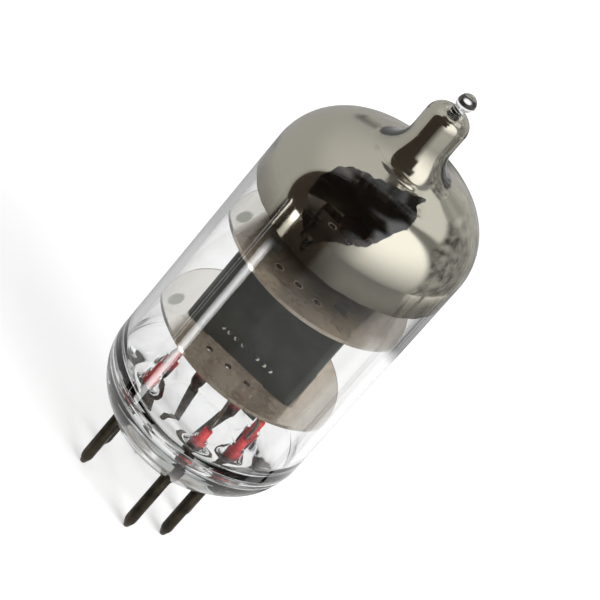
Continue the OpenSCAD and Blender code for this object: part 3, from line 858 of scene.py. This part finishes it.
@dataclass
class GetterFilm:
    """The mirror on the inside of the dome, with its clear patch.

    Its outer face is sunk a hair into the glass, so that nothing parts the two. The patch's outline
    is drawn as it is seen from the front, looking down by sight_up, in millimetres from the middle
    of the shoulder.
    """

    glass: Envelope
    sunk: float = 0.03
    thick: float = 0.05
    edge: float = 3.65
    back_edge: float = -0.2
    front_side: float = -0.45
    front_sharp: float = 2.4
    rim_waver: float = 0.12
    rim_waver_per_mm: float = 0.8
    wall_steps: int = 12
    sight_up: float = 30.0
    jag: float = 0.16
    jags: tuple[Point, ...] = ((1.8, 1.0), (5.0, 0.5))
    jag_steps: int = 10
    cut_far: float = 30.0
    patch: tuple[Point, ...] = (
        (-4.4, -0.9), (-3.8, 0.6), (-3.1, 1.2), (-1.6, 1.5), (0.4, 2.1), (2.5, 2.9), (2.4, 2.0), (3.1, 1.0),
        (2.7, -0.1), (1.5, -2.6), (-0.1, -3.6), (-1.0, -4.0), (-1.9, -5.9), (-3.5, -3.7), (-4.3, -2.0))

    def ragged(self) -> list[Point]:
        """Returns the clear patch's outline with small jags, the same in each run."""
        points = []
        for start, stop in zip(self.patch, (*self.patch[1:], self.patch[0])):
            across = Vector((start[1] - stop[1], stop[0] - start[0])).normalized()
            for k in range(self.jag_steps):
                place = Vector(start).lerp(Vector(stop), k / self.jag_steps)
                wander = sum(self.jag * share * noise.noise(Vector((*place, 5.0 * layer)) * fine)
                             for layer, (fine, share) in enumerate(self.jags))
                points.append(tuple(place + across * wander))
        return points

    def cutter(self) -> bpy.types.Object:
        """Builds the solid that the clear patch is cut with."""
        form = Form()
        face = form.bm.faces.new([form.bm.verts.new((*point, 0)) for point in self.ragged()])
        made = bmesh.ops.extrude_face_region(form.bm, geom=[face])["geom"]
        top = [g for g in made if isinstance(g, bmesh.types.BMVert)]
        bmesh.ops.translate(form.bm, vec=(0, 0, self.cut_far), verts=top)
        form.place(Matrix.Translation((0, 0, self.glass.shoulder_z))
                   @ Matrix.Rotation(math.radians(FRONT_DEG), 4, "Z")
                   @ Matrix.Rotation(math.radians(90 - self.sight_up), 4, "Y")
                   @ Matrix.Rotation(math.radians(90), 4, "Z"))
        bmesh.ops.recalc_face_normals(form.bm, faces=form.bm.faces)
        return form.blank("cutter")

    def build(self) -> None:
        """Builds the film and cuts it."""
        mica_top = node_box("upper_mica")[1].z
        low, high = mica_top + self.back_edge, self.glass.shoulder_z
        heights = [low + (high - low) * k / self.wall_steps for k in range(self.wall_steps)]
        outer, inner = ([*[(self.glass.inner_r - gap, z) for z in heights], *self.glass.dome_inside(gap)]
                        for gap in (-self.sunk, self.thick - self.sunk))
        form = Form().revolve([*outer, *reversed(inner)], closed=True)
        self.trim_front(form, low, mica_top + self.edge)
        film, cutter = form.blank("film"), self.cutter()
        cut = film.modifiers.new("patch", "BOOLEAN")
        cut.operation, cut.solver, cut.object = "DIFFERENCE", "EXACT", cutter
        done = Form()
        graph = bpy.context.evaluated_depsgraph_get()
        done.bm.from_mesh(bpy.data.meshes.new_from_object(film.evaluated_get(graph)))
        for spent in (film, cutter):
            bpy.data.objects.remove(spent)
        done.piece("getter_mirror", MirrorFilm(), Slot.FILM, ["getter_film"], crease=40)

    def trim_front(self, form: Form, low: float, edge: float) -> None:
        """Draws the film's lower edge up round the front, with a soft change at the sides."""
        high = self.glass.shoulder_z
        for vert in form.bm.verts:
            x, y, z = vert.co
            if z >= high:
                continue
            side = math.cos(math.atan2(y, x) - math.radians(FRONT_DEG))
            front = min(1.0, max(0.0, 0.5 + (side - self.front_side) * self.front_sharp))
            rim = low + (edge - low) * front * front * (3 - 2 * front)
            rim += self.rim_waver * noise.noise(Vector((x, y, 0)) * self.rim_waver_per_mm)
            vert.co.z = rim + (high - rim) * (z - low) / (high - low)


@dataclass(frozen=True)
class Grid:
    """One grid's winding: a node of the frame, wound round its two rods."""

    node: str
    rod_x: float
    rod_r: float
    depth: float
    pitch: float
    finish: Finish
    slot: Slot


@dataclass
class Cage:
    """The micas, the anode, the grids and the cathode."""

    wire_r: float = 0.04
    wire_sides: int = 6
    turn_steps: int = 24
    fit: float = 0.02
    margin: float = 0.6
    edge_round: float = 0.04
    edge_deg: float = 50.0
    grids: tuple[Grid, ...] = (
        Grid("control_winding", 1.25, 0.25, 1.8, 0.42, GILT_WIRE, Slot.GILT),
        Grid("screen_winding", 2.15, 0.3, 2.8, 0.62, GRID_WIRE, Slot.GRID),
        Grid("suppressor_winding", 3.3, 0.3, 4.4, 1.1, GRID_WIRE, Slot.GRID))
    welds: tuple[float, ...] = (-2.34, -1.76, -1.06, -0.32, 1.21, 1.93, 2.59)
    weld_r: float = 0.17
    weld_flat: float = 0.5
    weld_face: float = 3.58
    weld_z: float = 19.85

    def wind(self, grid: Grid) -> Form:
        """Winds a grid's wire round its two rods, as an oval coil."""
        bottom, top = node_box("lower_mica")[1].z, node_box("upper_mica")[0].z
        turns = math.floor((top - bottom - 2 * self.margin) / grid.pitch)
        start = bottom + (top - bottom - turns * grid.pitch) / 2
        a, b = grid.rod_x + grid.rod_r + self.wire_r + self.fit, grid.depth / 2
        path = []
        for k in range(turns * self.turn_steps + 1):
            turn = k / self.turn_steps
            path.append(Vector((a * math.cos(math.tau * turn), b * math.sin(math.tau * turn),
                                start + grid.pitch * turn)))
        return Form().sweep(path, self.wire_r, self.wire_sides)

    def spot_welds(self) -> Form:
        """Raises the row of weld marks across the foot of the anode's front."""
        form = Form()
        flat = Matrix.Diagonal((1, self.weld_flat, 1, 1))
        for across in self.welds:
            place = Matrix.Translation((across, -self.weld_face, self.weld_z))
            bmesh.ops.create_uvsphere(form.bm, u_segments=16, v_segments=10, radius=self.weld_r,
                                      matrix=place @ flat)
        return form

    def build(self) -> None:
        """Builds and dresses the cage."""
        for name, end, finish, slot, crease in (
                ("lower_mica", "sheet", SplitMica(), Slot.MICA, 20),
                ("upper_mica", "sheet", DUSTED_MICA_PAINTED_PALER, Slot.MICA, 20),
                ("anode_front", "half", CARBON_SHEET, Slot.SHEET, 5),
                ("anode_back", "half", CARBON_SHEET, Slot.SHEET, 5)):
            form = Form().copy(name).soften(self.edge_round, self.edge_deg)
            form.piece(f"{name}_{end}", finish, slot, [name], crease)
        turned = Matrix.Rotation(math.radians(CAGE_DEG), 4, "Z")
        # The weld marks' near-white tone is a painted highlight.
        self.spot_welds().place(turned).piece("spot_welds", WELD_PAINTED_GLINT, Slot.SHEET)
        for grid in self.grids:
            coil = grid.node.replace("winding", "coil")
            self.wind(grid).place(turned).piece(coil, grid.finish, grid.slot, [grid.node])
        wires = [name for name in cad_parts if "_rod_" in name or name.startswith("lead_")]
        self.dress(NICKEL_WIRE, *wires)
        self.dress(OXIDE_WHITE, "cathode_sleeve", "heater")
        self.dress(NICKEL_STRIP, "cathode_tab", "getter_strap", "getter_cup")
        self.dress(RESIDUE, "getter_fill")

    def dress(self, finish: Finish, *nodes: str) -> None:
        """Gives CAD nodes a finish."""
        for node in nodes:
            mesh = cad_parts[node].data
            mesh.materials.clear()
            mesh.materials.append(finish.material())
            LOG.info("%s: %s", node, finish.name)


@dataclass(frozen=True)
class Panel:
    """A soft box, a white card or a black one, by where the tube sees it.

    The turn counts from the camera's side, anticlockwise from above, and the rise from level, both
    in degrees.
    """

    turn: Pair
    rise: Pair
    level: float
    turn_soft: Pair = (2.0, 2.0)
    rise_soft: Pair = (4.0, 4.0)
    mottle: float = 0.0


@dataclass
class Studio:
    """The floor, the room, the lamp and the camera."""

    camera_mm: tuple[float, float, float] = (86.05, -182.93, 141.57)
    aim_mm: tuple[float, float, float] = (0.37, 0.17, 24.1)
    roll_deg: float = 40.82
    lens_mm: float = 178.97
    sensor_mm: float = 36.0
    floor_half: float = 1.5
    room_level: float = 0.5
    through_level: float = 0.32
    through_depth: float = 2.5
    dark_tint: str = "#ffe6d2"
    tint_levels: Pair = (0.05, 0.16)
    horizon_deg: float = 8.0
    horizon_soft: float = 4.0
    least_soft: float = 0.01
    mottle_scale: float = 7.0
    mottle_range: Pair = (0.35, 0.65)
    key_turn: float = 55.0
    key_rise: float = 40.0
    key_far: float = 0.6
    key_size: float = 0.35
    key_watts: float = 2.0
    panels: tuple[Panel, ...] = (
        # The room at large.
        Panel((-180.0, 180.0), (-90.0, 90.0), 0.16),
        # A bright wall behind the tube.
        Panel((150.0, 214.0), (5.0, 58.0), 1.2, (3.0, 12.0), (8.0, 6.0)),
        # The left side: grey, paler high up, with a dark spot towards the back.
        Panel((-180.0, -79.0), (-90.0, 66.0), 0.5, (4.0, 1.0), (4.0, 6.0)),
        Panel((-180.0, -79.0), (35.0, 66.0), 0.66, (4.0, 1.0), (40.0, 6.0)),
        Panel((-171.0, -163.0), (10.0, 17.0), 0.15, (5.0, 5.0), (5.0, 5.0)),
        # The camera's side: nearly black.
        Panel((-79.0, 30.0), (-90.0, 66.0), 0.045, (1.5, 20.0), (4.0, 6.0)),
        # The right side: dim and mottled, with brighter and darker cards towards the back.
        Panel((-10.0, 92.0), (-90.0, -8.0), 0.14, (10.0, 3.0), (4.0, 10.0)),
        Panel((94.0, 172.0), (-90.0, 36.0), 0.26, (3.0, 3.0), (8.0, 6.0), 0.8),
        Panel((146.0, 176.0), (-28.0, 30.0), 0.5, (6.0, 4.0), (8.0, 8.0), 0.4),
        Panel((94.0, 116.0), (34.0, 64.0), 0.25, (3.0, 10.0), (8.0, 5.0)),
        Panel((116.0, 184.0), (36.0, 64.0), 0.9, (10.0, 8.0), (6.0, 5.0)),
        Panel((150.0, 172.0), (54.0, 62.0), 0.12, (6.0, 6.0), (3.0, 3.0)),
        # The lit table far below, and the strips along its edge.
        Panel((-180.0, 180.0), (-90.0, -41.0), 0.85, (0.0, 0.0), (0.0, 6.0)),
        Panel((90.0, 180.0), (-37.0, -29.8), 1.1, (20.0, 0.5), (2.0, 0.4)),
        Panel((113.0, 118.0), (-37.0, -29.8), 0.0, (2.0, 2.0), (2.0, 0.4)),
        Panel((-160.0, -77.0), (-37.0, -30.3), 0.6, (16.0, 0.8), (2.0, 0.8)),
        Panel((-71.1, -69.9), (-40.0, -26.0), 3.0, (0.6, 0.6), (4.0, 1.0)),
        Panel((-60.5, -53.2), (-37.0, -29.8), 7.0, (3.0, 0.6), (2.0, 0.4)),
        # A dark ceiling.
        Panel((-180.0, 180.0), (68.0, 90.0), 0.06, (0.0, 0.0), (5.0, 0.0)),
        # The key lamp's soft box at the right, and the dark below and in front of it.
        Panel((8.0, 92.0), (-7.5, 70.0), 1.55, (40.0, 12.0), (95.0, 10.0)),
        Panel((-10.0, 92.0), (-40.0, -29.8), 0.18, (10.0, 4.0), (4.0, 0.4)),
        Panel((-79.0, 22.0), (18.0, 68.0), 0.045, (1.5, 12.0), (10.0, 4.0)),
        Panel((-79.0, 40.0), (46.0, 68.0), 0.045, (1.5, 14.0), (8.0, 4.0)))

    def camera(self) -> None:
        """Sets the camera at the photograph's place, rolled as the tube leans there."""
        data = bpy.data.cameras.new("camera")
        data.lens, data.sensor_width = self.lens_mm, self.sensor_mm
        data.clip_start, data.clip_end = 0.01, 10.0
        camera = link("camera", data)
        place, aim = Vector(self.camera_mm) * MM, Vector(self.aim_mm) * MM
        look = (aim - place).to_track_quat("-Z", "Y").to_matrix().to_4x4()
        roll = Matrix.Rotation(math.radians(self.roll_deg), 4, "Z")
        camera.matrix_world = Matrix.Translation(place) @ look @ roll
        bpy.context.scene.camera = camera

    def ramp(self, tree: Tree, value: Source, edge: float, soft: float, rising: bool) -> bpy.types.Node:
        """Adds a soft step at an edge, in degrees, that rises or falls."""
        half = soft / 2 + self.least_soft
        low, high = (edge - half, edge + half) if rising else (edge + half, edge - half)
        return add(tree, "MapRange", (value, low, high), interpolation_type="SMOOTHSTEP")

    def mask(self, tree: Tree, turn: Source, rise: Source, panel: Panel) -> bpy.types.Node:
        """Adds a panel's share of a direction, from 0 to 1."""
        middle, half = sum(panel.turn) / 2, (panel.turn[1] - panel.turn[0]) / 2
        away = add(tree, "Math", (turn, middle), operation="SUBTRACT")
        away = add(tree, "Math", (away, -180.0, 180.0), operation="WRAP")
        steps = [self.ramp(tree, rise, panel.rise[0], panel.rise_soft[0], True),
                 self.ramp(tree, rise, panel.rise[1], panel.rise_soft[1], False)]
        if half < 180.0:
            steps += [self.ramp(tree, away, -half, panel.turn_soft[0], True),
                      self.ramp(tree, away, half, panel.turn_soft[1], False)]
        share = steps[0]
        for step in steps[1:]:
            share = add(tree, "Math", (share, step), operation="MULTIPLY")
        return share

    def mirrored(self, tree: Tree, heading: Source, turn: Source, rise: Source) -> Source:
        """Adds the panels' light in a direction, where a later panel hangs before an earlier one."""
        cloudy = add(tree, "TexNoise", {"Vector": heading, "Scale": self.mottle_scale, "Detail": 3.0})
        level: Source = 0.0
        for panel in self.panels:
            own: Source = panel.level
            if panel.mottle:
                own = add(tree, "MapRange", (cloudy, *self.mottle_range, panel.level * (1 - panel.mottle),
                                             panel.level * (1 + panel.mottle)))
            level = add(tree, "Mix", {0: self.mask(tree, turn, rise, panel), 2: level, 3: own})
        return level

    def room(self) -> None:
        """Makes a white room for the camera, panels for gloss and glass, and a plain room for the rest."""
        world = bpy.data.worlds.new("room")
        bpy.context.scene.world = world
        world.use_nodes = True
        tree = world.node_tree
        tree.nodes.clear()
        heading = add(tree, "TexCoord").outputs["Generated"]
        parts = add(tree, "SeparateXYZ", (heading,)).outputs
        rise = add(tree, "Math", (parts["Z"],), operation="ARCSINE")
        rise = add(tree, "Math", (rise,), operation="DEGREES")
        level = self.mirrored(tree, heading, turn_from_front(tree, parts), rise)
        path = add(tree, "LightPath").outputs
        near = add(tree, "Math", (rise,), operation="ABSOLUTE")
        horizon = self.ramp(tree, near, self.horizon_deg, self.horizon_soft, False)
        deep = add(tree, "Math", (path["Transmission Depth"], self.through_depth), operation="GREATER_THAN")
        least = add(tree, "Math", (deep, self.through_level), operation="MULTIPLY")
        through: Source = level
        for other in (horizon, least):
            through = add(tree, "Math", (through, other), operation="MAXIMUM")
        gloss = add(tree, "Math", (path["Glossy Depth"], 0.5), operation="GREATER_THAN")
        shown = add(tree, "Math", (path["Is Glossy Ray"], path["Is Transmission Ray"]), operation="MAXIMUM")
        level = add(tree, "Mix", {0: gloss, 2: through, 3: level})
        level = add(tree, "Mix", {0: shown, 2: self.room_level, 3: level})
        level = add(tree, "Mix", {0: path["Is Camera Ray"], 2: level, 3: 1.0})
        lit = add(tree, "MapRange", (level, *self.tint_levels))
        shade = add(tree, "Background", (layered(tree, self.dark_tint, (lit, "#ffffff")), level))
        add(tree, "OutputWorld", {"Surface": shade})

    def floor(self) -> None:
        """Lays a plain pale floor under the pins, which keeps the tube's shadow."""
        form = Form()
        bmesh.ops.create_grid(form.bm, x_segments=1, y_segments=1, size=self.floor_half)
        floor = form.blank("floor")
        floor.data.materials.append(PaperSheet().material())
        floor.visible_glossy = False

    def lamp(self) -> None:
        """Hangs the soft key lamp, whose box is one of the room's panels in what the tube mirrors."""
        data = bpy.data.lights.new("key", "AREA")
        data.energy, data.size = self.key_watts, self.key_size
        lamp = link("key", data)
        aim = Vector(self.aim_mm) * MM
        turn, rise = math.radians(FRONT_DEG + self.key_turn), math.radians(self.key_rise)
        place = aim + self.key_far * Vector((math.cos(turn) * math.cos(rise), math.sin(turn) * math.cos(rise),
                                             math.sin(rise)))
        look = (aim - place).to_track_quat("-Z", "Y").to_matrix().to_4x4()
        lamp.matrix_world = Matrix.Translation(place) @ look
        lamp.visible_glossy = False
        lamp.visible_camera = False
        lamp.visible_transmission = False

    def build(self) -> None:
        """Sets up the studio."""
        self.camera()
        self.room()
        self.floor()
        self.lamp()
        bpy.context.scene.view_settings.view_transform = "Standard"


def main() -> None:
    """Builds the tube and its studio."""
    logging.basicConfig(level=logging.INFO, format="%(name)s %(message)s")
    Studio().build()
    pins = Pins()
    pins.build()
    glass = Envelope(pins)
    glass.build()
    GetterFilm(glass).build()
    Cage().build()
    bpy.context.view_layer.update()


if __name__ == "__main__":
    main()
